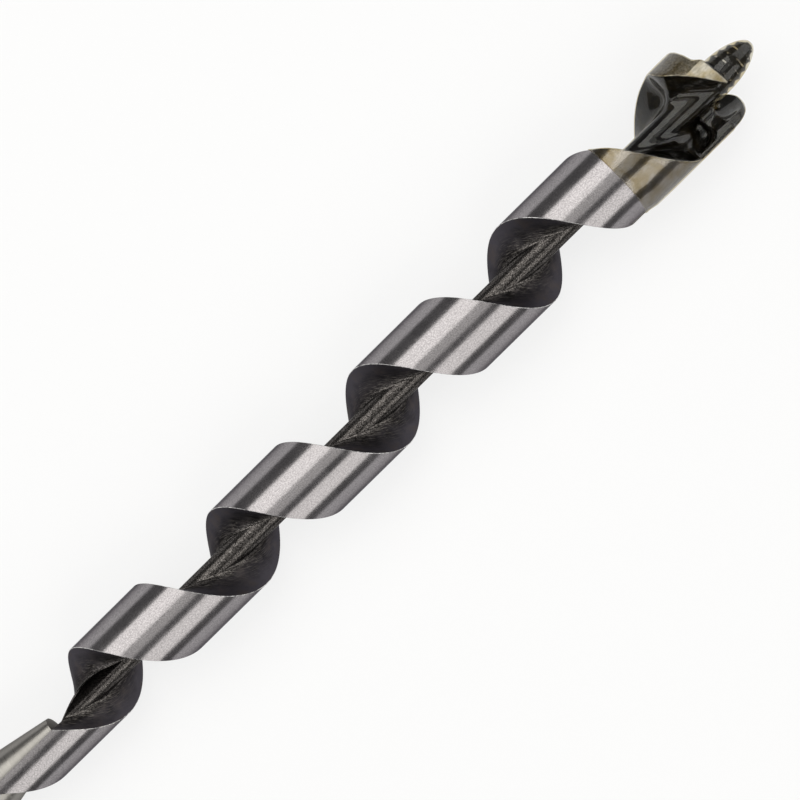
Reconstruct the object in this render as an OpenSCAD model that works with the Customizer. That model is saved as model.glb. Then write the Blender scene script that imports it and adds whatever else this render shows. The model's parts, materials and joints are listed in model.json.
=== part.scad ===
// Single-flute auger bit for wood, right-hand cut, with one cutting lip, one spur and a lead screw.
// It lies along +X: the shank's end face is at the origin and the point of the screw looks along +X.
// An angle phi round the axis runs from +Y over +Z, which is the way the bit turns when it cuts.

/* [Shank] */
// Width of the hexagonal shank across its flats
shank_w = 11.1; // [9.5:0.1:12.7]
// Length of the hexagonal shank
shank_len = 45; // [30:1:70]
// Chamfer at the free end of the hexagon
shank_chamfer = 1.2; // [0.5:0.1:2]
// Diameter of the round neck
neck_d = 9.6; // [8.6:0.1:10.4]
// Length of the round neck
neck_len = 16; // [10:1:40]
// Length over which the neck tapers to the core, where the flute runs out
runout_len = 14; // [10:1:20]

/* [Twist] */
// Length from the end of the run-out to the point of the lead screw
working_len = 160; // [120:1:220]
// Diameter of the twist over its lands
twist_d = 15.2; // [14:0.1:16]
// Lead of the twist
pitch = 33.15; // [30:0.05:38]
// Width of the land along the axis
land_w = 15.3; // [12:0.1:17]
// Diameter of the solid core
core_d = 4.1; // [3.6:0.1:5]
// Fillet between the core and the sides of the flight
root_fillet = 2.2; // [1:0.1:3]

/* [Head] */
// Diameter over the head, with the skin of film on its lands
head_d = 16.4; // [15.4:0.1:17.4]
// Length of the head, from the lip back to where the lands start to rise to its diameter
head_len = 22.2; // [18:0.1:26]
// Diameter of the hub that carries the lip
hub_d = 4.9; // [4.4:0.1:5.4]
// Distance from the lip to the point of the lead screw
point_len = 8.5; // [8:0.1:10]
// Height of the step behind the ground lip
lip_step = 0.95; // [0.5:0.05:1.3]
// Relief of the head's front behind the lip, over one turn
front_relief = 3.4; // [2:0.1:4]
// How far the throat first widens the flight towards the point
throat_lead = 1.85; // [1:0.05:2.2]
// How far the throat is then cut back behind the lip
throat_cut = 1.9; // [1:0.05:2.2]
// Height of the spur in front of the lip
spur_h = 2.4; // [1.5:0.1:3.5]
// Thickness of the spur at its root
spur_t = 1.8; // [1.4:0.1:2.4]
// Thickness of the spur's web along the axis
web_t = 2.2; // [1.8:0.1:3]
// Thickness of the wall between the flight and the spur
wall_t = 1; // [0.8:0.1:1.6]

/* [Lead screw] */
// Largest diameter of the thread
screw_d = 5.6; // [5.2:0.1:5.8]
// Lead of the thread
screw_pitch = 1.5; // [1.2:0.1:2]
// Depth of the thread
thread_depth = 0.6; // [0.4:0.05:0.8]
// Thickness of the peelable film over the crests of the thread
film_t = 0.2; // [0.15:0.05:0.3]

/* [Hidden] */

// Gap that keeps a faceted face off the round face beside it
seat_clearance = 0.02;
// Height of the flight where it first leaves the neck
flight_start_h = 0.6;
// Turn over which the flight rises from the neck to its full diameter
flight_rise_turn = 150;
// Share of the flight's height that its fillet may take
fillet_share = 0.75;
// Share of the land's width kept between its edges and the ends of the rise to the head
land_inset_share = 0.1;
// How much lower the land's edges are than its middle
edge_drop = 0.04;
// Length over which the lands rise from the twist's diameter to the head's
head_rise = 2.6;
// Turn that the cutting wing takes, back from the lip
wing_turn = 300;
// Direction of the lip, seen from the screw's point
lip_phi = 103.3;
// Turn that the ground lip takes, from its corner back to its step
lip_turn = 39;
// Width of the flat left on the lip's edge
lip_flat = 0.23;
// How far the twist's helix would run past the lip
twist_past_lip = 1.65;
// Turns before the lip at which the throat starts, turns and meets the cut behind the lip
throat_start_turn = 224;
throat_turn = 121;
throat_cut_turn = 59;
// Length of the hub behind the screw, and of its taper from the core's diameter
hub_len = 5.5;
hub_taper = 4;
// Step from the lip's edge back to the base of the screw
screw_seat = 0.3;

// Directions of the wall's free edge, of the spur's point and of the spur's cutting edge
wall_phi = 171;
spur_phi = 229;
spur_edge_phi = 259;
// Turn from the spur's point back to its heel
spur_heel_turn = 46;
// How full the spur's outline is: 0.5 is an ellipse and 1 a parabola
spur_power_share = 0.7;
// Thickness of the spur at its point
spur_point_t = 0.8;
// Turn over which the web's free edge sweeps out from the hub to the wall
web_sweep_turn = 30;
// Turn over which the web dies away in front of the flight
web_fade_turn = 8;
// Radius of the hollow between the wall and the web
throat_fillet = 2.2;

// How full the screw's outline is: 0.5 is an ellipse and 1 a parabola
ogive_power_share = 0.6;
// Length of the screw's cylindrical base
screw_base = 1.2;
// Share of the radius that the thread may cut away near the point
thread_share = 0.45;
// How sharp the thread's crests are: 1 is a plain V and 2 is sharper, with round roots
thread_power_share = 1.5;
// Diameter of the blunt point
point_d = 0.3;

half_share = 0.5;

turn_steps = 36;
step_turn = 360 / turn_steps;
fillet_steps = 4;
root_steps = 6;
screw_sides = 24;
screw_steps = 8;
spur_steps = 24;
outline_steps = 16;

neck_r = neck_d / 2;
core_r = core_d / 2;
hub_r = hub_d / 2;
twist_r = twist_d / 2;
head_r = head_d / 2;
screw_r = screw_d / 2;

runout_x = shank_len + neck_len;
work_x = runout_x + runout_len;
overall_len = work_x + working_len;
lip_x = overall_len - point_len;
screw_x = lip_x - screw_seat;
hub_x = screw_x - hub_len - hub_taper;
head_x = lip_x - head_len;

// Angles of travel count back from the lip: it is at 0, and the shank lies at negative travel
twist_travel = -360 * (lip_x + twist_past_lip - runout_x) / pitch;
wing_travel = -wing_turn;

function mix(a, b, t) = a + (b - a) * min(1, max(0, t));
function ease(t) = let (u = min(1, max(0, t))) u * u * (3 - 2 * u);

// Radius of the round body that the flight stands on
function root_r(x) =
    x < work_x ? mix(neck_r, core_r, (x - runout_x) / runout_len)
    : mix(core_r, hub_r, (x - hub_x) / hub_taper);

// The same radius, opened so that the flight's flat facets clear the round body
function seat_r(x) = (root_r(x) + seat_clearance) / cos(step_turn / 2);

// Radius over the lands: it grows with the turn on the neck, and along the axis at the head
function land_r(x, travel) =
    let (twist = mix(neck_r + flight_start_h, twist_r, ease((travel - twist_travel) / flight_rise_turn)))
    mix(twist, head_r, (x - head_x) / head_rise);

// Places along the axis of the flight's side towards the shank, its side towards the point and its front
function twist_back(travel) = lip_x + twist_past_lip + pitch * travel / 360;
function throat_shift(travel) =
    mix(0, throat_lead, (travel + throat_start_turn) / (throat_start_turn - throat_turn))
    - (throat_lead + throat_cut) * ease((travel + throat_turn) / (throat_turn - throat_cut_turn));
function flight_back(travel) =
    min(twist_back(travel) + throat_shift(travel), flight_front(travel) - lip_flat);
function flight_front(travel) =
    lip_x + front_relief * travel / 360 - lip_step * ease(-(travel + lip_turn) / step_turn);
function flight_tip(travel) = min(twist_back(travel) + land_w, flight_front(travel));

// Direction less travel on the turn that the spur's wall meets, and where that turn runs into the front
spur_travel = 360 + lip_phi;
web_end_phi = spur_travel - 360 * (twist_past_lip + land_w + lip_step) / (pitch - front_relief);
web_x = flight_front(web_end_phi - spur_travel);

// Fillet at the root, no taller than the flight has room for
function root_fillet_at(x, travel) =
    min(root_fillet, (land_r(x, travel) - seat_r(x)) * fillet_share);

// The fillet on the side towards the point shrinks where the spur's web comes down on the flight
function tip_fillet_at(x, travel) =
    min(root_fillet_at(x, travel), max(0, web_x - web_t - seat_clearance - x));

function turned(x, r, phi) = [x, r * cos(phi), r * sin(phi)];

// Outline of the flight where a plane through the axis cuts it, as [x, r]
function flight_outline(travel) =
    let (
        back = flight_back(travel),
        front = flight_front(travel),
        tip = flight_tip(travel),
        back_fillet = root_fillet_at(back, travel),
        tip_fillet = tip_fillet_at(tip, travel),
        foot_back = back - back_fillet,
        foot_tip = min(tip + tip_fillet, front),
        inset = (tip - back) * land_inset_share
    )
    [
        [back, land_r(back, travel) - edge_drop],
        for (i = [fillet_steps : -1 : 0])
            let (
                t = 90 * i / fillet_steps,
                x = back - back_fillet * (1 - sin(t))
            )
            [x, seat_r(x) + back_fillet * (1 - cos(t))],
        for (i = [1 : root_steps - 1])
            let (x = mix(foot_back, foot_tip, i / root_steps))
            [x, seat_r(x)],
        for (i = [0 : fillet_steps])
            let (
                t = 90 * i / fillet_steps,
                x = min(tip + tip_fillet * (1 - sin(t)), front)
            )
            [x, seat_r(x) + max(tip_fillet, seat_clearance) * (1 - cos(t))],
        [tip, land_r(tip, travel) - edge_drop],
        for (x = [
            min(tip - inset, max(back + 2 * inset, head_x + head_rise)),
            min(tip - 2 * inset, max(back + inset, head_x))
        ])
            [x, land_r(x, travel)]
    ];

// Solid through a row of closed rings of points
module lofted(rings) {
    n = len(rings[0]);
    last = (len(rings) - 1) * n;
    points = [for (ring = rings) each ring];
    sides = [
        for (j = [0 : len(rings) - 2], i = [0 : n - 1])
            let (
                a = j * n + i,
                b = j * n + (i + 1) % n
            )
            each [[a, b, a + n], [b, b + n, a + n]]
    ];
    polyhedron(points, [
        [for (i = [n - 1 : -1 : 0]) i],
        each sides,
        [for (i = [0 : n - 1]) last + i]
    ]);
}

// Length of helical flight between two angles of travel. Between its ends the outlines stand at odd
// half steps of direction, so that each turn has a facet square to -Z for the bit to lie on.
module flight_between(from, to) {
    first = ceil((lip_phi + from) / step_turn - half_share) + half_share;
    lofted([
        for (travel = [
            from,
            for (k = [first : (lip_phi + to) / step_turn - seat_clearance])
                k * step_turn - lip_phi,
            to
        ])
            [for (p = flight_outline(travel)) turned(p.x, p.y, lip_phi + travel)]
    ]);
}

// Solid of revolution about the bit's axis from an outline of [x, r]
module revolved(outline, fn = 96) {
    rotate([0, 90, 0])
        rotate_extrude($fn = fn)
            polygon([for (p = outline) [p.y, p.x]]);
}

module hex_shank() {
    corner_r = shank_w / 2 / cos(30);
    color("dimgray")
        intersection() {
            rotate([0, 90, 0])
                rotate([0, 0, 30])
                    cylinder(r = corner_r, h = shank_len, $fn = 6);
            revolved([
                [0, 0],
                [0, corner_r - shank_chamfer],
                [shank_chamfer, corner_r],
                [shank_len - (corner_r - neck_r), corner_r],
                [shank_len, neck_r],
                [shank_len, 0]
            ]);
        }
}

module neck() {
    color("dimgray")
        revolved([
            [shank_len, 0],
            [shank_len, neck_r],
            [runout_x, neck_r],
            [work_x, core_r],
            [work_x, 0]
        ]);
}

module core() {
    color("#332e2b")
        revolved([
            [work_x, 0],
            [work_x, core_r],
            [hub_x, core_r],
            [hub_x, 0]
        ]);
}

module flight() {
    color("#b9b4b1")
        flight_between(twist_travel, wing_travel);
}

module head_hub() {
    color("#332e2b")
        revolved([
            [hub_x, 0],
            [hub_x, core_r],
            [hub_x + hub_taper, hub_r],
            [screw_x, hub_r],
            [screw_x, 0]
        ]);
}

module cutting_wing() {
    color("#a99c78")
        flight_between(wing_travel, 0);
}

// Front of the spur: it rises from its heel to its point and falls to its cutting edge
function spur_front(phi) =
    let (
        half = phi < spur_phi ? spur_heel_turn : spur_edge_phi - spur_phi,
        u = min(1, abs(phi - spur_phi) / half)
    )
    web_x + (lip_x + spur_h - web_x) * pow(1 - u * u, spur_power_share);

// Back of the spur's wall, which seats on the flight's side and front
function wall_back(phi) = flight_tip(phi - spur_travel) + seat_clearance;

// Inner edge of the web: it sweeps from the wall in to the hub, and out again in front of the flight
function web_r(phi) =
    let (
        outer = head_r - spur_t,
        inner = seat_r(screw_x)
    )
    max(
        mix(outer, inner, ease((phi - wall_phi) / web_sweep_turn)),
        mix(inner, outer, ease((phi - web_end_phi) / web_fade_turn + 1))
    );

// Outline of the wall, web and spur where a plane through the axis cuts them, as [x, r]
function spur_outline(phi) =
    let (
        back = wall_back(phi),
        web = max(web_x, back + lip_flat),
        front = max(spur_front(phi), web + lip_flat),
        web_back = max(back, web - web_t),
        wall_r = head_r - wall_t,
        inner_r = min(web_r(phi), head_r - spur_t - seat_clearance),
        hollow = min(throat_fillet, web_back - back, wall_r - inner_r),
        rise = (front - web) / (lip_x + spur_h - web)
    )
    [
        [back, head_r],
        [back, wall_r],
        for (i = [0 : fillet_steps])
            let (t = 90 * i / fillet_steps)
            [web_back - hollow * (1 - sin(t)), wall_r - hollow * (1 - cos(t))],
        [web_back, inner_r],
        [web, inner_r],
        [web, head_r - spur_t],
        [front, head_r - mix(spur_t, spur_point_t, rise)],
        [front, head_r]
    ];

module spur() {
    color("#332e2b")
        lofted([
            for (j = [0 : spur_steps])
                let (phi = mix(wall_phi, spur_edge_phi, j / spur_steps))
                [for (p = spur_outline(phi)) turned(p.x, p.y, phi)]
        ]);
}

// Radius of the screw's smooth outline over the crests of its thread
function crest_r(x) =
    let (
        start = screw_x + screw_base,
        t = max(0, (x - start) / (overall_len - film_t - start))
    )
    max(point_d / 2, screw_r * pow(max(0, 1 - t * t), ogive_power_share));

// Radius of the thread at one place: its crests are sharp and its roots are round
function thread_r(x, phi) =
    let (
        turns = (x - screw_x) / screw_pitch - phi / 360,
        f = abs(2 * (turns - floor(turns)) - 1),
        crest = crest_r(x)
    )
    crest - min(thread_depth, crest * thread_share) * (1 - pow(f, thread_power_share));

module lead_screw() {
    len_x = overall_len - film_t - screw_x;
    steps = ceil(len_x / screw_pitch * screw_steps);
    color("#332e2b")
        lofted([
            for (j = [0 : steps])
                let (x = screw_x + len_x * j / steps)
                [
                    for (i = [0 : screw_sides - 1])
                        let (phi = -360 * i / screw_sides)
                        turned(x, thread_r(x, phi), phi)
                ]
        ]);
}

module tip_film() {
    start = lip_x;
    len_x = overall_len - film_t - start;
    xs = [for (i = [0 : outline_steps]) start + len_x * sin(90 * i / outline_steps)];
    color("#8a7a4c", 0.5)
        revolved([
            [overall_len - film_t + seat_clearance, 0],
            for (i = [outline_steps : -1 : 0]) [xs[i], crest_r(xs[i]) + seat_clearance],
            for (x = xs) [x + (x - start) / len_x * film_t, crest_r(x) + film_t],
            [overall_len, 0]
        ]);
}

hex_shank();
neck();
core();
flight();
head_hub();
cutting_wing();
spur();
lead_screw();
tip_film();
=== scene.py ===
"""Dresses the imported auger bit: ground lands, blackened flutes and a head dipped in clear peelable film."""

import json
import math

import bmesh
import bpy
from bpy.props import FloatProperty, FloatVectorProperty, PointerProperty
from mathutils import Matrix, Vector

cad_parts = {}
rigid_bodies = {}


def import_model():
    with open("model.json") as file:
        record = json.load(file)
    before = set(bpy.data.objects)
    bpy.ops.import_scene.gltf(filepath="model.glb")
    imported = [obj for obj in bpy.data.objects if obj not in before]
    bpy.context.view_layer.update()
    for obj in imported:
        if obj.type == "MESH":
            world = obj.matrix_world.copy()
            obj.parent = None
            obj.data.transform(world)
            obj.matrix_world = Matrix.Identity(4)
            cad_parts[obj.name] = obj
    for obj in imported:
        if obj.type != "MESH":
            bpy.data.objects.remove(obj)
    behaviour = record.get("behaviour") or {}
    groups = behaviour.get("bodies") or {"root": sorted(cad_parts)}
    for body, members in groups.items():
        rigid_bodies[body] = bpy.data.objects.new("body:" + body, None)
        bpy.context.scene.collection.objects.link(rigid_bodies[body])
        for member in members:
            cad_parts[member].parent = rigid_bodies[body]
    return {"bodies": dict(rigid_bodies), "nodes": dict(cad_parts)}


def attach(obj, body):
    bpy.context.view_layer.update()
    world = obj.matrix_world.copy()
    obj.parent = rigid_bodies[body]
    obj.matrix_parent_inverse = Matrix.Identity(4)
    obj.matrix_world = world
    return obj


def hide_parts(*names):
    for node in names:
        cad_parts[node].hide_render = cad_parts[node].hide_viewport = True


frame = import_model()

bl_info = {
    "name": "Auger Bit Dresser",
    "version": (1, 0, 0),
    "blender": (4, 5, 0),
    "location": "View3D > Sidebar > Auger Bit",
    "description": "Builds the finished surfaces, the film and the studio for the auger bit",
    "category": "Object",
}

MM = 0.001
BODY = next(iter(frame["bodies"]))
WHITE = (1, 1, 1, 1)

# Small fits between neighbouring forms: the spur's gap to its seat, the core's skin over and under the solid core and
# its least length, the sink of the flight's root, and the height that the flight starts at
SEAT_GAP = 0.02 * MM
SKIN_LIFT = 0.004 * MM
SKIN_DEPTH = 0.3 * MM
SKIN_LENGTH = 0.5 * MM
ROOT_SINK = 0.25 * MM
START_HEIGHT = 0.6 * MM

# Degrees: the flight's rise from the neck, the lip's step, the throat's three places, the spur's three sweeps, the
# travel where the form under the film starts, and the least angle of an edge that is shaded sharp
FLIGHT_RISE = 150
STEP_RUN = 10
THROAT_START, THROAT_TURN, THROAT_END = 224, 121, 59
SPUR_HEEL, WEB_SWEEP, WEB_FADE = 46, 30, 8
FILM_FORM_START = -450
SHARP_ANGLE = 30

# Shares and powers that shape the fillets, the spur's outline, the screw's ogive and its thread
FILLET_SHARE = 0.75
CORE_FILLET_SHARE = 0.9
FOOT_SHARE = 0.8
SPUR_POWER = 0.7
OGIVE_POWER = 0.6
THREAD_SHARE = 0.45
THREAD_POWER = 1.5

# The screw's cylindrical base, its blunt point, and how far the film starts behind the screw
SCREW_BASE = 1.2 * MM
POINT_RADIUS = 0.15 * MM
FILM_BASE = 0.6 * MM

# Steps of a side, of a fillet, of the land and of forms turned about the axis
SIDE_STEPS = 4
ARC_STEPS = 8
LAND_STEPS = 20
CORE_STEPS = 10
THREAD_ROWS = 110
OGIVE_STEPS = 40
ROUND_STEPS = 64

# Fillet of radius 1 from its side to its foot, as distances from the corner
ARC = [(1 - math.sin(t), 1 - math.cos(t)) for t in (math.radians(90 * i / ARC_STEPS) for i in range(ARC_STEPS + 1))]

# Rows of flight_section that lie on the land, and the two pairs that make its broken edges
FAR_EDGE = 2 * (SIDE_STEPS + ARC_STEPS + 2)
LAND_ROWS = {0, *range(FAR_EDGE + 1, FAR_EDGE + 1 + LAND_STEPS)}
EDGE_ROWS = ({0, 1}, {FAR_EDGE, FAR_EDGE + 1})
SIDE_SLOT, LAND_SLOT, EDGE_SLOT, FACET_SLOT = range(4)

# Radius at which the map Flow has the true length round the axis
FLOW_RADIUS = 6 * MM


def linear(code):
    """Linear colour with alpha from an sRGB hex code such as #a0a0a0."""
    parts = [int(code[i : i + 2], 16) / 255 for i in (1, 3, 5)]
    return [c / 12.92 if c <= 0.04045 else ((c + 0.055) / 1.055) ** 2.4 for c in parts] + [1.0]


def length(name, default, description):
    """A size in metres, given in millimetres."""
    return FloatProperty(name=name, description=description, default=default * MM, unit="LENGTH", precision=5)


def angle(name, default, description):
    """An angle, given in degrees."""
    return FloatProperty(
        name=name, description=description, default=math.radians(default), subtype="ANGLE", unit="ROTATION"
    )


def colour(name, code, description):
    """A colour given as an sRGB hex code."""
    return FloatVectorProperty(name=name, description=description, default=linear(code), size=4, subtype="COLOR")


class BitSizes(bpy.types.PropertyGroup):
    """Sizes of the bit. Most are those of its solids. The head, the spur, the wall and the thread's depth are smaller
    here and the lip's flat is larger. The broken edges, the film over the head and the thread's lens are only here."""

    neck_d: length("Neck diameter", 9.6, "Diameter of the round neck")
    runout_x: length("Run-out start", 61, "Place along the axis where the flute starts to run out of the neck")
    work_x: length("Twist start", 75, "Place along the axis where the core reaches its full depth")
    twist_d: length("Twist diameter", 15.2, "Diameter over the lands of the twist")
    pitch: length("Pitch", 33.15, "Lead of the twist")
    land_w: length("Land width", 15.3, "Width of the land along the axis")
    core_d: length("Core diameter", 4.1, "Diameter of the solid core")
    root_fillet: length("Root fillet", 2.2, "Fillet between the core and the sides of the flight")
    land_bevel: length("Land edge", 0.09, "Width of the bright broken edge along the land")
    head_d: length("Head diameter", 15.9, "Diameter of the head's steel under its film")
    head_x: length("Head start", 204.3, "Place along the axis where the lands start to rise to the head's diameter")
    head_rise: length("Head rise", 2.6, "Length over which the lands rise to the head's diameter")
    spur_h: length("Spur height", 2.35, "Height of the spur in front of the lip")
    spur_t: length("Spur thickness", 1.6, "Thickness of the spur at its root")
    spur_point_t: length("Spur point thickness", 0.7, "Thickness of the spur at its point")
    web_t: length("Web thickness", 2.2, "Thickness of the spur's web along the axis")
    wall_t: length("Wall thickness", 0.8, "Thickness of the wall between the flight and the spur")
    hub_d: length("Hub diameter", 4.9, "Diameter of the hub that carries the lip")
    hub_x: length("Hub start", 216.7, "Place along the axis where the core starts to widen to the hub")
    hub_taper: length("Hub taper", 4, "Length over which the core widens to the hub")
    lip_x: length("Lip", 226.5, "Place along the axis of the cutting lip")
    lip_step: length("Lip step", 0.95, "Height of the step behind the ground lip")
    front_relief: length("Front relief", 3.4, "Relief of the head's front over one turn")
    throat_lead: length("Throat lead", 1.85, "How far the throat first widens the flight")
    throat_cut: length("Throat cut", 1.9, "How far the throat is then cut back behind the lip")
    past_lip: length("Helix past the lip", 1.65, "How far the twist's helix would run past the lip")
    lip_flat: length("Lip flat", 0.25, "Width of the flat left on the lip's edge")
    screw_x: length("Screw base", 226.2, "Place along the axis of the base of the lead screw")
    screw_len: length("Screw length", 8.6, "Length of the lead screw")
    screw_d: length("Screw diameter", 5.6, "Largest diameter of the thread's steel")
    screw_pitch: length("Screw pitch", 1.5, "Lead of the thread")
    thread_depth: length("Thread depth", 0.4, "Depth of the thread, as it shows through the film")
    thread_lens: length("Thread lens", 0.1, "How far past the film's inner surface its lens effect shows the crests")
    film_t: length("Film thickness", 0.2, "Thickness of the film over the crests of the thread")
    film_skin: length("Film on the head", 0.2, "How far the film stands proud of the head's steel")
    film_fill: length("Film in the corners", 0.9, "Radius to which the film fills the head's hollow corners")
    film_grain: length("Film resolution", 0.17, "Size of the cells that the film is draped with")
    film_limit: length("Film limit", 8.16, "Radius that the film never passes")
    film_bead: length("Film bead", 0.12, "Height of the bead at the film's edge on the twist")
    lip_phi: angle("Lip direction", 103.3, "Direction of the lip round the axis, from +Y over +Z")
    lip_turn: angle("Lip turn", 39, "Turn that the ground lip takes back to its step")
    wing_turn: angle("Wing turn", 300, "Turn that the cutting wing takes, back from the lip")
    wall_phi: angle("Wall edge", 171, "Direction of the free edge of the wall under the spur")
    spur_phi: angle("Spur point", 229, "Direction of the spur's point")
    spur_edge_phi: angle("Spur cutting edge", 259, "Direction of the spur's cutting edge")


class BitColours(bpy.types.PropertyGroup):
    """Colours of the bit's finishes and of the studio."""

    ground: colour("Ground steel", "#9a9698", "Lands, ground after hardening")
    edge: colour("Broken edge", "#d8d6d4", "Bright nicked edges of the lands")
    oxide: colour("Black oxide", "#4c494f", "Blackened flutes")
    # Painted shade: the flutes are coloured darker deep down, close to the core
    deep_flute_painted_shade: colour("Deep oxide", "#1c1a1a", "Flutes close to the core, under the streaks")
    oxide_warm: colour("Warm oxide", "#5a5047", "Browner clouds of the flutes")
    scored: colour("Mill streaks", "#77726e", "Bright scoring round the core")
    rubbed: colour("Rubbed core", "#6a6664", "Speckled sheen along the core")
    scale: colour("Head steel", "#121112", "Black scale of the head")
    scale_warm: colour("Head mottle", "#2a241a", "Browner mottle of the head's scale")
    dull: colour("Head land", "#8a8682", "The head's own land, dull under the film")
    facet: colour("Lip facet", "#cfcdce", "Facet ground behind the lip")
    shank: colour("Shank steel", "#96938f", "Turned and milled shank")
    amber: colour("Film tint", "#e9e6dc", "Tint of the peelable film")
    amber_deep: colour("Thick film tint", "#d8cfb4", "Tint where the film has pooled")
    floor: colour("Floor", "#dedede", "Pale floor")


def mix(a, b, t):
    """Straight blend from a to b, held at both ends."""
    return a + (b - a) * min(1.0, max(0.0, t))


def ease(t):
    """Smooth step from 0 to 1."""
    u = min(1.0, max(0.0, t))
    return u * u * (3 - 2 * u)


# The laws of the flight. Travel is in degrees back from the lip, which is at 0.


def root_radius(s, x):
    """Radius of the round body that the flight stands on."""
    if x < s.work_x:
        return mix(s.neck_d, s.core_d, (x - s.runout_x) / (s.work_x - s.runout_x)) / 2
    return mix(s.core_d, s.hub_d, (x - s.hub_x) / s.hub_taper) / 2


def flight_start(s):
    """Travel at which the flight leaves the neck."""
    return -360 * (s.lip_x + s.past_lip - s.runout_x) / s.pitch


def wing_start(s):
    """Travel at which the cutting wing begins."""
    return -math.degrees(s.wing_turn)


def land_radius(s, x, travel):
    """Radius over the lands: it grows with the turn on the neck, and along the axis at the head."""
    twist = mix(s.neck_d / 2 + START_HEIGHT, s.twist_d / 2, ease((travel - flight_start(s)) / FLIGHT_RISE))
    return mix(twist, s.head_d / 2, ease((x - s.head_x) / s.head_rise))


def flight_front(s, travel):
    """Front of the head, relieved behind the lip with a step at the ground facet's end."""
    step = ease(-(travel + math.degrees(s.lip_turn)) / STEP_RUN)
    return s.lip_x + s.front_relief * travel / 360 - s.lip_step * step


def flight_sides(s, travel):
    """Places along the axis of the flight's side towards the shank and of its side towards the point."""
    helix = s.lip_x + s.past_lip + s.pitch * travel / 360
    lead = mix(0, s.throat_lead, (travel + THROAT_START) / (THROAT_START - THROAT_TURN))
    cut = (s.throat_lead + s.throat_cut) * ease((travel + THROAT_TURN) / (THROAT_TURN - THROAT_END))
    front = flight_front(s, travel)
    return min(helix + (lead - cut), front - s.lip_flat), min(helix + s.land_w, front)


def fillet_size(s, x, travel):
    """Root fillet, no taller than the flight has room for."""
    return min(s.root_fillet, (land_radius(s, x, travel) - root_radius(s, x)) * FILLET_SHARE)


def flight_section(s, travel):
    """Section of the flight in a plane through the axis, as (x, r) from the land's edge by the shank round to the
    land again."""
    back, tip = flight_sides(s, travel)
    front = flight_front(s, travel)
    edge = min(s.land_bevel, (tip - back) / 3)
    low_top, high_top = land_radius(s, back + edge, travel), land_radius(s, tip - edge, travel)
    low = fillet_size(s, back, travel)
    high = fillet_size(s, tip, travel)
    between = [i / SIDE_STEPS for i in range(1, SIDE_STEPS)]
    rows = [(back + edge, low_top), (back, low_top - edge)]
    rows += [(back, mix(low_top - edge, root_radius(s, back) + low, t)) for t in between]
    for along, rise in reversed(ARC):
        x = back - low * along
        rows.append((x, root_radius(s, x) + low * rise))
    foot = min(tip + high, front)
    rows.append((back - low * FOOT_SHARE, root_radius(s, back - low) - ROOT_SINK))
    rows.append((foot, root_radius(s, foot) - ROOT_SINK))
    for along, rise in ARC:
        x = min(tip + high * along, front)
        rows.append((x, root_radius(s, x) + high * rise))
    rows += [(tip, mix(root_radius(s, tip) + high, high_top - edge, t)) for t in between]
    rows += [(tip, high_top - edge), (tip - edge, high_top)]
    for i in range(1, LAND_STEPS):
        x = mix(tip - edge, back + edge, i / LAND_STEPS)
        rows.append((x, land_radius(s, x, travel)))
    return rows


def spur_section(s, travel):
    """Section of the wall, web and spur, whose travel counts on from the lip. It seats on the turn before."""
    phi = travel + math.degrees(s.lip_phi)
    back = flight_sides(s, travel - 360)[1] + SEAT_GAP
    # Where the turn before runs into the head's front, which sets the height of the web
    run = (s.past_lip + s.land_w + s.lip_step) / (s.pitch - s.front_relief)
    web_end = 360 + math.degrees(s.lip_phi) - 360 * run
    web_x = flight_front(s, -360 * run)
    web = max(web_x, back + s.lip_flat)
    web_back = max(back, web - s.web_t)
    point, edge = math.degrees(s.spur_phi), math.degrees(s.spur_edge_phi)
    u = min(1.0, abs(phi - point) / (SPUR_HEEL if phi < point else edge - point))
    front = max(web_x + (s.lip_x + s.spur_h - web_x) * (1 - u * u) ** SPUR_POWER, web + s.lip_flat)
    top = s.head_d / 2
    outer, inner = top - s.spur_t, root_radius(s, s.screw_x) + SEAT_GAP
    sweep = mix(outer, inner, ease((phi - math.degrees(s.wall_phi)) / WEB_SWEEP))
    fade = mix(inner, outer, ease((phi - web_end) / WEB_FADE + 1))
    low = min(max(sweep, fade), outer - SEAT_GAP)
    wall = top - s.wall_t
    hollow = min(s.root_fillet, web_back - back, wall - low)
    thick = mix(s.spur_t, s.spur_point_t, (front - web) / (s.lip_x + s.spur_h - web))
    rows = [(back, mix(top, wall, i / 2)) for i in range(3)]
    rows += [(web_back - hollow * along, wall - hollow * rise) for along, rise in ARC]
    rows += [(web_back, mix(wall - hollow, low, i / 3)) for i in range(1, 4)]
    rows += [(web, mix(low, outer, i / 4)) for i in range(4)]
    rows += [(mix(web, front, i / 6), mix(outer, top - thick, i / 6)) for i in range(6)]
    rows += [(front, mix(top - thick, top, i / 2)) for i in range(3)]
    rows += [(mix(front, back, i / 12), top) for i in range(1, 12)]
    return rows


def core_section(s, travel):
    """Section of the core's skin between one turn of the flight and the next."""
    tip = flight_sides(s, travel)[1]
    first = tip + fillet_size(s, tip, travel) * CORE_FILLET_SHARE
    last = s.hub_x
    if travel < -360:
        following = flight_sides(s, travel + 360)[0]
        last = min(last, following - fillet_size(s, following, travel + 360) * CORE_FILLET_SHARE)
    first = min(first, last - SKIN_LENGTH)
    places = [mix(first, last, i / CORE_STEPS) for i in range(CORE_STEPS + 1)]
    rows = [(x, root_radius(s, x) + SKIN_LIFT) for x in places]
    rows += [(x, root_radius(s, x) - SKIN_DEPTH) for x in (last, first)]
    return rows


def screw_crest(s, x):
    """Radius of the screw's smooth outline over the crests of its thread."""
    start = s.screw_x + SCREW_BASE
    t = max(0.0, (x - start) / (s.screw_x + s.screw_len - start))
    return max(POINT_RADIUS, s.screw_d / 2 * max(0.0, 1 - t * t) ** OGIVE_POWER)


def film_span(s):
    """Place where the film's ogive over the screw starts, and its length."""
    base = s.screw_x - FILM_BASE
    return base, s.screw_x + s.screw_len + s.film_t - base


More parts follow.
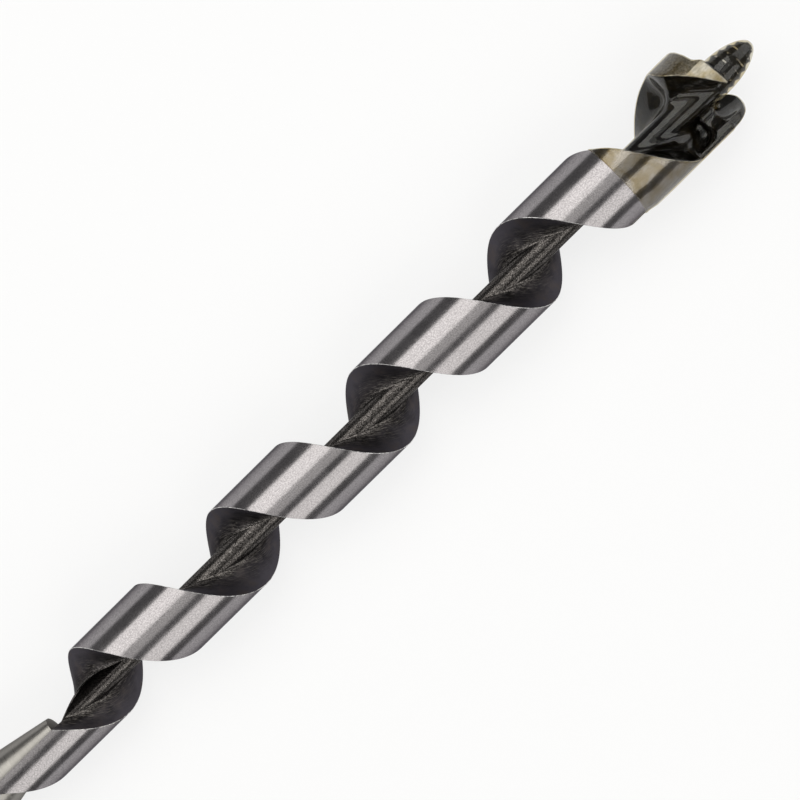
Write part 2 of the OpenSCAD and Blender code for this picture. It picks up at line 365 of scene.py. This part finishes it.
def film_crest(s, x):
    """Radius of the smooth ogive that carries the film over the screw."""
    base, reach = film_span(s)
    return screw_crest(s, base + (x - base) * (reach - s.film_t) / reach) + s.film_t


def turned(x, r, phi):
    """The point at radius r in the direction phi."""
    return x, r * math.cos(phi), r * math.sin(phi)


def capped(bm):
    """Closes the open ends of a mesh."""
    bmesh.ops.holes_fill(bm, edges=[e for e in bm.edges if e.is_boundary], sides=0)


def cut_behind(bm, x):
    """Takes away all of a mesh on the shank's side of x and closes the cut."""
    bmesh.ops.bisect_plane(
        bm, geom=bm.verts[:] + bm.edges[:] + bm.faces[:], plane_co=(x, 0, 0), plane_no=(1, 0, 0), clear_inner=True
    )
    capped(bm)


def revolved(bm, outline):
    """Turns an outline of (x, r) once about the axis."""
    line = [bm.verts.new((x, r, 0)) for x, r in outline]
    edges = [bm.edges.new((a, b)) for a, b in zip(line, line[1:])]
    bmesh.ops.spin(
        bm, geom=line + edges, cent=(0, 0, 0), axis=(1, 0, 0), dvec=(0, 0, 0),
        angle=math.tau, steps=ROUND_STEPS, use_merge=True, use_duplicate=False,
    )


def placed(name, bm):
    """Turns a bmesh into an object at the origin."""
    mesh = bpy.data.meshes.new(name)
    bm.to_mesh(mesh)
    bm.free()
    made = bpy.data.objects.new(name, mesh)
    bpy.context.scene.collection.objects.link(made)
    return made


def swept(name, s, section, start, end, step, lands=False):
    """A closed solid made by turning an axial section about +X and along it, each ring then set to its own section.
    Its map Flow runs along the helix and across it, in metres. Where the section has lands, they and their broken
    edges get material slots of their own."""
    steps = math.ceil((end - start) / step)
    lead = s.pitch * (end - start) / 360 / steps
    phi = math.radians(start) + s.lip_phi
    bm = bmesh.new()
    station = bm.verts.layers.int.new("station")
    rows = section(s, start)
    ring = []
    for i, (x, r) in enumerate(rows):
        v = bm.verts.new(turned(x, r, phi))
        v[station] = i
        ring.append(v)
    loop = [bm.edges.new((ring[i - 1], ring[i])) for i in range(len(ring))]
    bmesh.ops.spin(
        bm, geom=ring + loop, cent=(0, 0, 0), axis=(1, 0, 0), dvec=(lead, 0, 0),
        angle=math.radians(end - start), steps=steps, use_duplicate=False,
    )
    turn = bm.verts.layers.float.new("travel")
    across = bm.verts.layers.float.new("across")
    places = [section(s, mix(start, end, j / steps)) for j in range(steps + 1)]
    middle = places[len(places) // 2]
    reach = [0.0]
    for a, b in zip(middle, middle[1:]):
        reach.append(reach[-1] + math.dist(a, b))
    for v in bm.verts:
        i = v[station]
        j = min(steps, max(0, round((v.co.x - rows[i][0]) / lead)))
        travel = mix(start, end, j / steps)
        v.co = turned(*places[j][i], math.radians(travel) + s.lip_phi)
        v[turn] = travel
        v[across] = reach[i]
    capped(bm)
    bmesh.ops.recalc_face_normals(bm, faces=bm.faces)
    flow = bm.loops.layers.uv.new("Flow")
    for f in bm.faces:
        f.smooth = True
        f.material_index = SIDE_SLOT
        if lands and len(f.verts) == 4:
            rows_here = {v[station] for v in f.verts}
            if rows_here <= LAND_ROWS:
                f.material_index = LAND_SLOT
            if rows_here in EDGE_ROWS:
                f.material_index = EDGE_SLOT
        for corner in f.loops:
            corner[flow].uv = (math.radians(corner.vert[turn]) * FLOW_RADIUS, corner.vert[across])
    for e in bm.edges:
        if len(e.link_faces) == 2 and e.calc_face_angle() > math.radians(SHARP_ANGLE):
            e.smooth = False
    return placed(name, bm)


def finished(made, slot, solid, *materials):
    """Gives a piece its materials, ties it to the bit's body and hides the solid it stands for."""
    for m in materials:
        made.data.materials.append(m)
    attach(made, BODY)
    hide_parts(solid)


def dressed(name, finish):
    """Gives one of the bit's own solids its finish."""
    solid = frame["nodes"][name]
    solid.data.materials.clear()
    solid.data.materials.append(finish)


def node(tree, kind, inputs=None, **settings):
    """Adds one node with its settings. Each input is a value or the socket that feeds it."""
    made = tree.nodes.new(kind)
    for key, value in settings.items():
        setattr(made, key, value)
    for key, value in (inputs or {}).items():
        if isinstance(value, bpy.types.NodeSocket):
            tree.links.new(value, made.inputs[key])
        else:
            made.inputs[key].default_value = value
    return made


def noise(tree, place, scale, detail, **more):
    """Noise, its scale in waves per unit of place."""
    inputs = {"Vector": place, "Scale": scale, "Detail": detail, **more}
    return node(tree, "ShaderNodeTexNoise", inputs).outputs["Fac"]


def ranged(tree, value, start, end, low=0.0, high=1.0):
    """Carries a value from the range of start and end over to low and high."""
    inputs = {"Value": value, "From Min": start, "From Max": end, "To Min": low, "To Max": high}
    return node(tree, "ShaderNodeMapRange", inputs).outputs["Result"]


def worked_out(tree, operation, *terms, **settings):
    """The result of one sum."""
    return node(tree, "ShaderNodeMath", dict(enumerate(terms)), operation=operation, **settings).outputs["Value"]


def blended(tree, a, b, factor, kind="MIX"):
    """Colour a with a share of b laid over it."""
    inputs = {"A": a, "B": b, "Factor": factor}
    return node(tree, "ShaderNodeMix", inputs, data_type="RGBA", blend_type=kind).outputs["Result"]


def mapped(tree, place, vector_type="POINT", **inputs):
    """Place moved to a pattern's own scale and turn."""
    return node(tree, "ShaderNodeMapping", {"Vector": place, **inputs}, vector_type=vector_type).outputs["Vector"]


def bumped(tree, height, strength, distance):
    """Normal of a surface that is raised where height is."""
    inputs = {"Height": height, "Strength": strength, "Distance": distance}
    return node(tree, "ShaderNodeBump", inputs).outputs["Normal"]


def surfaced(tree, socket):
    """Ends a material in a shader."""
    node(tree, "ShaderNodeOutputMaterial", {"Surface": socket})


def metal(tree, tone, inputs):
    """Ends a material in metal of one tone."""
    surfaced(tree, node(tree, "ShaderNodeBsdfPrincipled", {"Base Color": tone, **inputs}).outputs["BSDF"])


def material(name):
    """An empty material, its node tree and its object coordinates."""
    made = bpy.data.materials.new(name)
    made.use_nodes = True
    tree = made.node_tree
    tree.nodes.clear()
    return made, tree, node(tree, "ShaderNodeTexCoord").outputs["Object"]


def ground_tool_steel(c):
    """Tool steel ground after hardening: a bright satin with a fine sandy grain and soft darker clouds."""
    made, tree, place = material("ground_tool_steel")
    # Grit of about 0.2 mm, coarser than the real wheel's so that it shows
    grit = noise(tree, place, 4200, 2, Roughness=0.6)
    cloud = noise(tree, place, 260, 3, Roughness=0.55)
    tone = blended(tree, c.ground, ranged(tree, grit, 0.25, 0.75, 0.0, 1.7), 0.33, "MULTIPLY")
    tone = blended(tree, tone, cloud, 0.16, "MULTIPLY")
    metal(tree, tone, {
        "Metallic": 1.0, "Roughness": ranged(tree, cloud, 0.3, 0.7, 0.16, 0.22),
        "Specular Tint": (0.25, 0.25, 0.26, 1), "Normal": bumped(tree, grit, 0.5, 0.007 * MM),
    })
    return made


def broken_edge_steel(c):
    """Land edges rubbed bright: narrow, with nicks about 0.7 mm apart."""
    made, tree, place = material("broken_edge_steel")
    nicks = ranged(tree, noise(tree, place, 1500, 2), 0.36, 0.6, 0.15)
    metal(tree, blended(tree, c.oxide, c.edge, nicks), {"Metallic": 1.0, "Roughness": 0.4})
    return made


def milled_flute_steel(s, c):
    """Blackened flutes: smooth and dark towards the lands, and towards the core scored by short bright mill streaks
    along the helix, on a core that is rubbed to a speckled sheen. Painted shade darkens the flute towards the core.
    All of them end at the head, which is black."""
    made, tree, place = material("milled_flute_steel")
    flow = node(tree, "ShaderNodeUVMap", uv_map="Flow").outputs["UV"]
    parts = node(tree, "ShaderNodeSeparateXYZ", {"Vector": place}).outputs
    side = node(tree, "ShaderNodeCombineXYZ", {"Y": parts["Y"], "Z": parts["Z"]}).outputs["Vector"]
    radius = node(tree, "ShaderNodeVectorMath", {0: side}, operation="LENGTH").outputs["Value"]
    cloud = noise(tree, place, 420, 3)
    # Streaks and rubbing fade out over the first 4 mm of the head
    head = ranged(tree, parts["X"], s.head_x, s.head_x + 4 * MM, 1.0, 0.0)
    # Scoring fades between 2.6 and 6.2 mm from the axis, raggedly, and the rubbed core between 2.15 and 2.9 mm. The
    # same ragged band paints shade into the flute, darker towards the core
    ragged = worked_out(tree, "MULTIPLY_ADD", cloud, 5 * MM, -2.5 * MM)
    scoring_and_shade_band = ranged(tree, worked_out(tree, "ADD", radius, ragged), 2.6 * MM, 6.2 * MM, head, 0.0)
    core = ranged(tree, radius, 2.15 * MM, 2.9 * MM, head, 0.0)
    # Streaks about 1.5 mm long and 0.15 mm wide, 22 degrees off the helix
    stretch = mapped(
        tree, flow, vector_type="TEXTURE", Rotation=(0, 0, math.radians(22)), Scale=(1.5 * MM, 0.15 * MM, 1)
    )
    mill = noise(tree, stretch, 1.0, 3, Roughness=0.65, Distortion=0.5)
    streak = worked_out(tree, "MULTIPLY", ranged(tree, mill, 0.5, 0.74), scoring_and_shade_band)
    speck = ranged(tree, noise(tree, place, 5200, 2), 0.46, 0.66)
    tone = blended(tree, c.oxide, c.oxide_warm, ranged(tree, cloud, 0.5, 0.7, 0.0, 0.35))
    # Painted shade: the flute darkens towards the core, using the same band as the scoring
    tone = blended(tree, tone, c.deep_flute_painted_shade, scoring_and_shade_band)
    tone = blended(tree, tone, c.scored, streak)
    tone = blended(tree, tone, c.rubbed, worked_out(tree, "MULTIPLY", speck, core))
    tone = blended(tree, c.scale, tone, head)
    flank = worked_out(tree, "SUBTRACT", scoring_and_shade_band, core, use_clamp=True)
    metal(tree, tone, {
        "Metallic": 0.9, "Roughness": ranged(tree, core, 0.0, 1.0, 0.48, 0.25), "Specular Tint": (0.4, 0.4, 0.4, 1),
        "Normal": bumped(tree, worked_out(tree, "MULTIPLY", mill, flank), 0.8, 0.04 * MM),
    })
    return made


def black_head_steel(c):
    """Forged steel of the head under its film: scaled black, with a faint browner mottle."""
    made, tree, place = material("black_head_steel")
    scale = noise(tree, place, 500, 4, Roughness=0.6)
    metal(tree, blended(tree, c.scale, c.scale_warm, ranged(tree, scale, 0.45, 0.7)), {
        "Metallic": 0.6, "Roughness": 0.5, "Specular Tint": (0.4, 0.4, 0.4, 1),
        "Normal": bumped(tree, scale, 0.3, 0.03 * MM),
    })
    return made


def dull_land_steel(c):
    """Forged and tumbled steel of the head's own land: an even, dull grey with a soft orange-peel."""
    made, tree, place = material("dull_land_steel")
    grit = noise(tree, place, 2600, 3)
    metal(tree, blended(tree, c.dull, ranged(tree, grit, 0.3, 0.7, 0.0, 1.6), 0.6, "MULTIPLY"), {
        "Metallic": 1.0, "Roughness": 0.6, "Specular Tint": (0.3, 0.3, 0.3, 1),
        "Normal": bumped(tree, grit, 0.5, 0.012 * MM),
    })
    return made


def ground_facet_steel(c):
    """Facet ground flat behind the lip: paler and rougher than the land, with fine wheel marks."""
    made, tree, place = material("ground_facet_steel")
    grit = noise(tree, mapped(tree, place, Scale=(900, 3000, 3000)), 1.0, 3)
    tone = blended(tree, c.facet, ranged(tree, grit, 0.3, 0.7, 0.0, 1.4), 0.3, "MULTIPLY")
    metal(tree, tone, {"Metallic": 1.0, "Roughness": 0.55})
    return made


def turned_shank_steel(c, name, spacing):
    """Turned or milled steel of the shank: satin grey with fine tool marks across the axis, spacing apart."""
    made, tree, place = material(name)
    marks = noise(tree, mapped(tree, place, Scale=(1 / spacing, 60, 60)), 1.0, 2)
    metal(tree, blended(tree, c.shank, noise(tree, place, 200, 3), 0.3, "MULTIPLY"), {
        "Metallic": 1.0, "Roughness": ranged(tree, marks, 0.3, 0.7, 0.27, 0.4),
        "Specular Tint": (0.4, 0.4, 0.4, 1), "Normal": bumped(tree, marks, 0.4, 0.01 * MM),
    })
    return made


def worn_thread_steel(c):
    """Black steel of the lead screw, its thread's crests rubbed bright in short broken stretches."""
    made, tree, place = material("worn_thread_steel")
    crest = node(tree, "ShaderNodeAttribute", attribute_name="crest").outputs["Fac"]
    top = ranged(tree, crest, 0.78, 0.9)
    rubbed = ranged(tree, noise(tree, place, 1100, 2), 0.54, 0.62)
    tone = blended(tree, c.scale, c.facet, worked_out(tree, "MULTIPLY", top, rubbed))
    metal(tree, tone, {"Metallic": 0.6, "Roughness": 0.5})
    return made


def peelable_dip_film(c):
    """Clear cellulose dip film: glossy, tinted amber and deeper where it has pooled."""
    made, tree, place = material("peelable_dip_film")
    pool = ranged(tree, noise(tree, place, 330, 3, Distortion=0.8), 0.42, 0.62)
    normal = bumped(tree, noise(tree, place, 430, 1), 0.6, 0.1 * MM)
    tint = blended(tree, c.amber, c.amber_deep, pool)
    through = node(tree, "ShaderNodeBsdfTransparent", {"Color": tint})
    gloss = node(tree, "ShaderNodeBsdfGlossy", {"Color": WHITE, "Roughness": 0.08, "Normal": normal})
    rim = node(tree, "ShaderNodeFresnel", {"IOR": 1.45, "Normal": normal}).outputs["Fac"]
    # Fine crinkles scatter the glare at grazing angles, so the share that the film mirrors is held down
    glare = worked_out(tree, "MINIMUM", rim, 0.2)
    shader = node(tree, "ShaderNodeMixShader", {0: glare, 1: through.outputs["BSDF"], 2: gloss.outputs["BSDF"]})
    surfaced(tree, shader.outputs["Shader"])
    return made


def pale_paper(c):
    """Matte studio paper: one pale tone with a barely visible tooth."""
    made, tree, place = material("pale_studio_paper")
    tone = blended(tree, c.floor, noise(tree, place, 900, 2), 0.01, "MULTIPLY")
    matte = node(tree, "ShaderNodeBsdfDiffuse", {"Color": tone})
    # Most of the paper's white is its own as the camera, metal and film see it, so the bit's shadow stays soft
    path = node(tree, "ShaderNodeLightPath").outputs
    seen = worked_out(tree, "MAXIMUM", path["Is Camera Ray"], path["Is Glossy Ray"])
    seen = worked_out(tree, "MAXIMUM", seen, path["Is Transmission Ray"])
    share = worked_out(tree, "MULTIPLY", seen, 0.76)
    white = node(tree, "ShaderNodeEmission", {"Color": WHITE, "Strength": 1.0})
    shader = node(tree, "ShaderNodeMixShader", {0: share, 1: matte.outputs["BSDF"], 2: white.outputs["Emission"]})
    surfaced(tree, shader.outputs["Shader"])
    return made


class AUGER_OT_stage(bpy.types.Operator):
    """Pale floor, soft strip lamps along the bit, a dim world and the camera"""

    bl_idname = "auger.stage"
    bl_label = "Studio and Camera"

    # Half the floor's width, and where it lies: 0.4 mm under the twist's lands and 0.1 mm inside the head's film
    floor_reach = 3.0
    floor_place = (0.15, 0, -8.02 * MM)
    world_strength = 0.17
    warm, neutral = (1.0, 0.995, 0.95), (1, 1, 1)
    # The point of the bit that the lamps look at
    lit_place = (0.16, 0, 0)
    # The camera's turns in degrees, its lens and sensor in millimetres, and the point that it looks at
    yaw, lean, roll = 3.93, 45.38, -0.81
    lens, sensor, shift = 70.38, 36, (0.0156, 0.0007)
    seen_place, distance = (0.1532, 0, 0), 0.25639

    def lamp(self, name, turn, distance, width, reach, radiance, tint, axis="Y"):
        """A strip lamp that looks at the bit's middle from an angle off the vertical."""
        data = bpy.data.lights.new(name, "AREA")
        data.shape = "RECTANGLE"
        data.size = width
        data.size_y = reach
        data.energy = radiance * math.pi * width * reach
        data.color = tint
        made = bpy.data.objects.new(name, data)
        sin, cos = math.sin(math.radians(turn)), math.cos(math.radians(turn))
        if axis == "Y":
            away, side, along = Vector((0, sin, cos)), Vector((0, cos, -sin)), Vector((1, 0, 0))
        else:
            away, side, along = Vector((sin, 0, cos)), Vector((cos, 0, -sin)), Vector((0, -1, 0))
        facing = Matrix((side, along, away)).transposed().to_4x4()
        made.matrix_world = Matrix.Translation(Vector(self.lit_place) + away * distance) @ facing
        bpy.context.scene.collection.objects.link(made)

    def camera(self, scene):
        """The camera, which looks down on the bit so that it runs up to the right across the picture."""
        yaw, tilt = math.radians(self.yaw), math.radians(self.lean) + math.radians(self.roll)
        ex = Vector((math.cos(yaw), 0, -math.sin(yaw)))
        ey = Vector((0, 1, 0))
        ez = Vector((math.sin(yaw), 0, math.cos(yaw)))
        right = math.cos(tilt) * ex - math.sin(tilt) * ey
        up = math.sin(tilt) * ex + math.cos(tilt) * ey
        data = bpy.data.cameras.new("camera")
        data.lens = self.lens
        data.sensor_width = self.sensor
        data.shift_x, data.shift_y = self.shift
        data.clip_start = 1 * MM
        made = bpy.data.objects.new("camera", data)
        place = Vector(self.seen_place) + ez * self.distance
        made.matrix_world = Matrix.Translation(place) @ Matrix((right, up, ez)).transposed().to_4x4()
        scene.collection.objects.link(made)
        scene.camera = made

    def execute(self, context):
        scene = context.scene
        bm = bmesh.new()
        spread = Matrix.Translation(self.floor_place)
        bmesh.ops.create_grid(bm, x_segments=1, y_segments=1, size=self.floor_reach, matrix=spread)
        floor = placed("floor", bm)
        floor.data.materials.append(pale_paper(scene.auger_colours))
        self.lamp("key_strip", 33, 0.30, 0.218, 0.55, 2.3, self.warm)
        self.lamp("fill_strip", -47, 0.30, 0.204, 0.55, 1.8, self.warm)
        self.lamp("top_strip", 0, 0.50, 0.195, 0.8, 0.8, self.warm)
        self.lamp("point_fill", 66, 0.55, 0.38, 0.5, 1.3, self.neutral, "X")
        self.lamp("shank_fill", -66, 0.55, 0.38, 0.5, 1.3, self.neutral, "X")
        world = bpy.data.worlds.new("dim_studio")
        scene.world = world
        world.use_nodes = True
        tree = world.node_tree
        tree.nodes.clear()
        sky = node(tree, "ShaderNodeBackground", {"Color": WHITE, "Strength": self.world_strength})
        node(tree, "ShaderNodeOutputWorld", {"Surface": sky.outputs["Background"]})
        scene.view_settings.view_transform = "Standard"
        self.camera(scene)
        return {"FINISHED"}


class AUGER_OT_twist(bpy.types.Operator):
    """Helical flight with its run-out, its ground lands and its blackened sides"""

    bl_idname = "auger.twist"
    bl_label = "Twist"

    flight_step, core_step = 3.0, 5.0

    def execute(self, context):
        s, c = context.scene.auger_sizes, context.scene.auger_colours
        oxide = milled_flute_steel(s, c)
        start, end = flight_start(s), wing_start(s)
        flight = swept("twist_flight", s, flight_section, start, end, self.flight_step, lands=True)
        finished(flight, "ground_steel", "flight", oxide, ground_tool_steel(c), broken_edge_steel(c))
        core = swept("fluted_core", s, core_section, start, end, self.core_step)
        finished(core, "blackened_steel", "core", oxide)
        return {"FINISHED"}


class AUGER_OT_head(bpy.types.Operator):
    """Cutting wing with its throat, step and ground facet, and the finishes of the hub and the spur"""

    bl_idname = "auger.head"
    bl_label = "Head"

    wing_step, spur_step = 2.0, 1.5
    # How far past the lip's own turn a face still counts as its facet, in degrees
    facet_margin = 1

    def execute(self, context):
        s, c = context.scene.auger_sizes, context.scene.auger_colours
        black = black_head_steel(c)
        wing = swept("head_wing", s, flight_section, wing_start(s), 0, self.wing_step, lands=True)
        edges = bpy.data.materials["broken_edge_steel"]
        finished(wing, "head_steel", "cutting_wing", black, dull_land_steel(c), edges, ground_facet_steel(c))
        limit = -math.degrees(s.lip_turn) - self.facet_margin
        travel = wing.data.attributes["travel"].data
        for f in wing.data.polygons:
            if f.material_index == LAND_SLOT and min(travel[i].value for i in f.vertices) > limit:
                f.material_index = FACET_SLOT
        phi = math.degrees(s.lip_phi)
        start, end = math.degrees(s.wall_phi) - phi, math.degrees(s.spur_edge_phi) - phi
        spur = swept("throat_spur", s, spur_section, start, end, self.spur_step)
        finished(spur, "head_steel", "spur", black)
        dressed("head_hub", black)
        return {"FINISHED"}


class AUGER_OT_lead_screw(bpy.types.Operator):
    """Tapered lead screw with its thread"""

    bl_idname = "auger.lead_screw"
    bl_label = "Lead Screw"

    def execute(self, context):
        s, c = context.scene.auger_sizes, context.scene.auger_colours
        bm = bmesh.new()
        places = [s.screw_x + s.screw_len * i / THREAD_ROWS for i in range(THREAD_ROWS + 1)]
        revolved(bm, [(x, film_crest(s, x) + s.thread_lens) for x in places])
        worn = bm.verts.layers.float.new("crest")
        for v in bm.verts:
            phi = math.atan2(v.co.z, v.co.y)
            turns = (v.co.x - s.screw_x) / s.screw_pitch - phi / math.tau
            f = abs(2 * (turns - math.floor(turns)) - 1)
            crest = film_crest(s, v.co.x) + s.thread_lens
            r = crest - min(s.thread_depth, crest * THREAD_SHARE) * (1 - f**THREAD_POWER)
            v.co = turned(v.co.x, r, phi)
            v[worn] = f
        capped(bm)
        bmesh.ops.recalc_face_normals(bm, faces=bm.faces)
        for face in bm.faces:
            face.smooth = len(face.verts) == 4
        finished(placed("thread", bm), "blackened_steel", "lead_screw", worn_thread_steel(c))
        return {"FINISHED"}


class AUGER_OT_film(bpy.types.Operator):
    """Peelable film draped over the whole head"""

    bl_idname = "auger.film"
    bl_label = "Dip Film"

    form_step = 2.0
    # How far the form starts behind the film's edge and its hub ends behind the ogive, and when two points are one
    form_margin, hub_margin, merge_distance = 1 * MM, 0.5 * MM, 0.0005 * MM
    smooth_steps, smooth_share = 12, 0.6
    # How proud the film is of the twist at its edge, how far its bead reaches, and its gap to the bit's end
    edge_height, bead_reach, end_gap = 0.03 * MM, 0.3 * MM, 0.01 * MM

    def form(self, s):
        """The head's steel and the ogive over its screw, as one loose mesh."""
        mass = bmesh.new()
        rear = s.head_x - self.form_margin
        flight = swept("film_form", s, flight_section, FILM_FORM_START, 0, self.form_step)
        for made in (flight, bpy.data.objects["throat_spur"]):
            part = bmesh.new()
            part.from_mesh(made.data)
            bmesh.ops.remove_doubles(part, verts=part.verts, dist=self.merge_distance)
            cut_behind(part, rear)
            cut = bpy.data.meshes.new("film_cut")
            part.to_mesh(cut)
            part.free()
            mass.from_mesh(cut)
            bpy.data.meshes.remove(cut)
        bpy.data.objects.remove(flight)
        # Core, hub and the smooth ogive of film over the screw's crests, as one turned form
        base, reach = film_span(s)
        outline = [(rear, 0), (rear, root_radius(s, rear)), (s.hub_x, root_radius(s, s.hub_x))]
        outline += [(s.hub_x + s.hub_taper, s.hub_d / 2), (base - self.hub_margin, s.hub_d / 2)]
        for i in range(OGIVE_STEPS + 1):
            x = base + reach * math.sin(math.pi / 2 * i / OGIVE_STEPS)
            outline.append((x, film_crest(s, x) if i < OGIVE_STEPS else 0))
        revolved(mass, outline)
        return placed("film_mass", mass)

    def draped(self, s, rough, context):
        """Mesh of the film over a form. It swells past its surface and draws back to it, which leaves the hollow
        corners filled."""
        cells = ("REMESH", {"mode": "VOXEL", "voxel_size": s.film_grain})
        for kind, settings in (
            cells,
            ("DISPLACE", {"strength": s.film_skin + s.film_fill, "mid_level": 0}),
            cells,
            ("SMOOTH", {"iterations": self.smooth_steps, "factor": self.smooth_share}),
            ("DISPLACE", {"strength": -s.film_fill, "mid_level": 0}),
        ):
            modifier = rough.modifiers.new(kind.lower(), kind)
            for key, value in settings.items():
                setattr(modifier, key, value)
        shape = bpy.data.meshes.new_from_object(rough.evaluated_get(context.evaluated_depsgraph_get()))
        bpy.data.objects.remove(rough)
        return shape

    def execute(self, context):
        s, c = context.scene.auger_sizes, context.scene.auger_colours
        bm = bmesh.new()
        bm.from_mesh(self.draped(s, self.form(s), context))
        cut_behind(bm, s.head_x)
        end = s.screw_x + s.screw_len + s.film_t
        for v in bm.verts:
            r = math.hypot(v.co.y, v.co.z)
            past = v.co.x - s.head_x
            limit = mix(s.twist_d / 2 + self.edge_height, s.film_limit, past / s.head_rise)
            # Bead that the film's edge dries to
            limit += s.film_bead * max(0.0, 1 - (past / self.bead_reach - 1) ** 2)
            if r > limit:
                v.co.y *= limit / r
                v.co.z *= limit / r
            v.co.x = min(v.co.x, end - self.end_gap)
        bmesh.ops.recalc_face_normals(bm, faces=bm.faces)
        for f in bm.faces:
            f.smooth = True
        finished(placed("dip_film", bm), "peel_film", "tip_film", peelable_dip_film(c))
        return {"FINISHED"}


class AUGER_OT_shank(bpy.types.Operator):
    """Finishes of the hexagonal shank and the neck"""

    bl_idname = "auger.shank"
    bl_label = "Shank"

    # Spacing of the tool marks along the axis
    hexagon_marks, neck_marks = 0.6 * MM, 0.2 * MM

    def execute(self, context):
        c = context.scene.auger_colours
        dressed("hex_shank", turned_shank_steel(c, "milled_hexagon_steel", self.hexagon_marks))
        dressed("neck", turned_shank_steel(c, "turned_neck_steel", self.neck_marks))
        return {"FINISHED"}


class AUGER_PT_sidebar(bpy.types.Panel):
    """Lists the steps that dress the auger bit"""

    bl_label = "Auger Bit"
    bl_idname = "AUGER_PT_sidebar"
    bl_space_type = "VIEW_3D"
    bl_region_type = "UI"
    bl_category = "Auger Bit"

    def draw(self, context):
        for step in STEPS:
            self.layout.operator(step.bl_idname)
        for group in (context.scene.auger_sizes, context.scene.auger_colours):
            box = self.layout.box()
            for name in group.__annotations__:
                box.prop(group, name)


STEPS = (AUGER_OT_stage, AUGER_OT_twist, AUGER_OT_head, AUGER_OT_lead_screw, AUGER_OT_film, AUGER_OT_shank)
CLASSES = (BitSizes, BitColours) + STEPS + (AUGER_PT_sidebar,)


def register():
    """Registers the classes and the settings they read."""
    for made in CLASSES:
        bpy.utils.register_class(made)
    bpy.types.Scene.auger_sizes = PointerProperty(type=BitSizes)
    bpy.types.Scene.auger_colours = PointerProperty(type=BitColours)


def unregister():
    """Takes the settings and the classes away again."""
    del bpy.types.Scene.auger_colours
    del bpy.types.Scene.auger_sizes
    for made in reversed(CLASSES):
        bpy.utils.unregister_class(made)


def main():
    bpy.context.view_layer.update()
    register()
    bpy.ops.auger.stage()
    bpy.ops.auger.twist()
    bpy.ops.auger.head()
    bpy.ops.auger.lead_screw()
    bpy.ops.auger.film()
    bpy.ops.auger.shank()


if __name__ == "__main__":
    main()
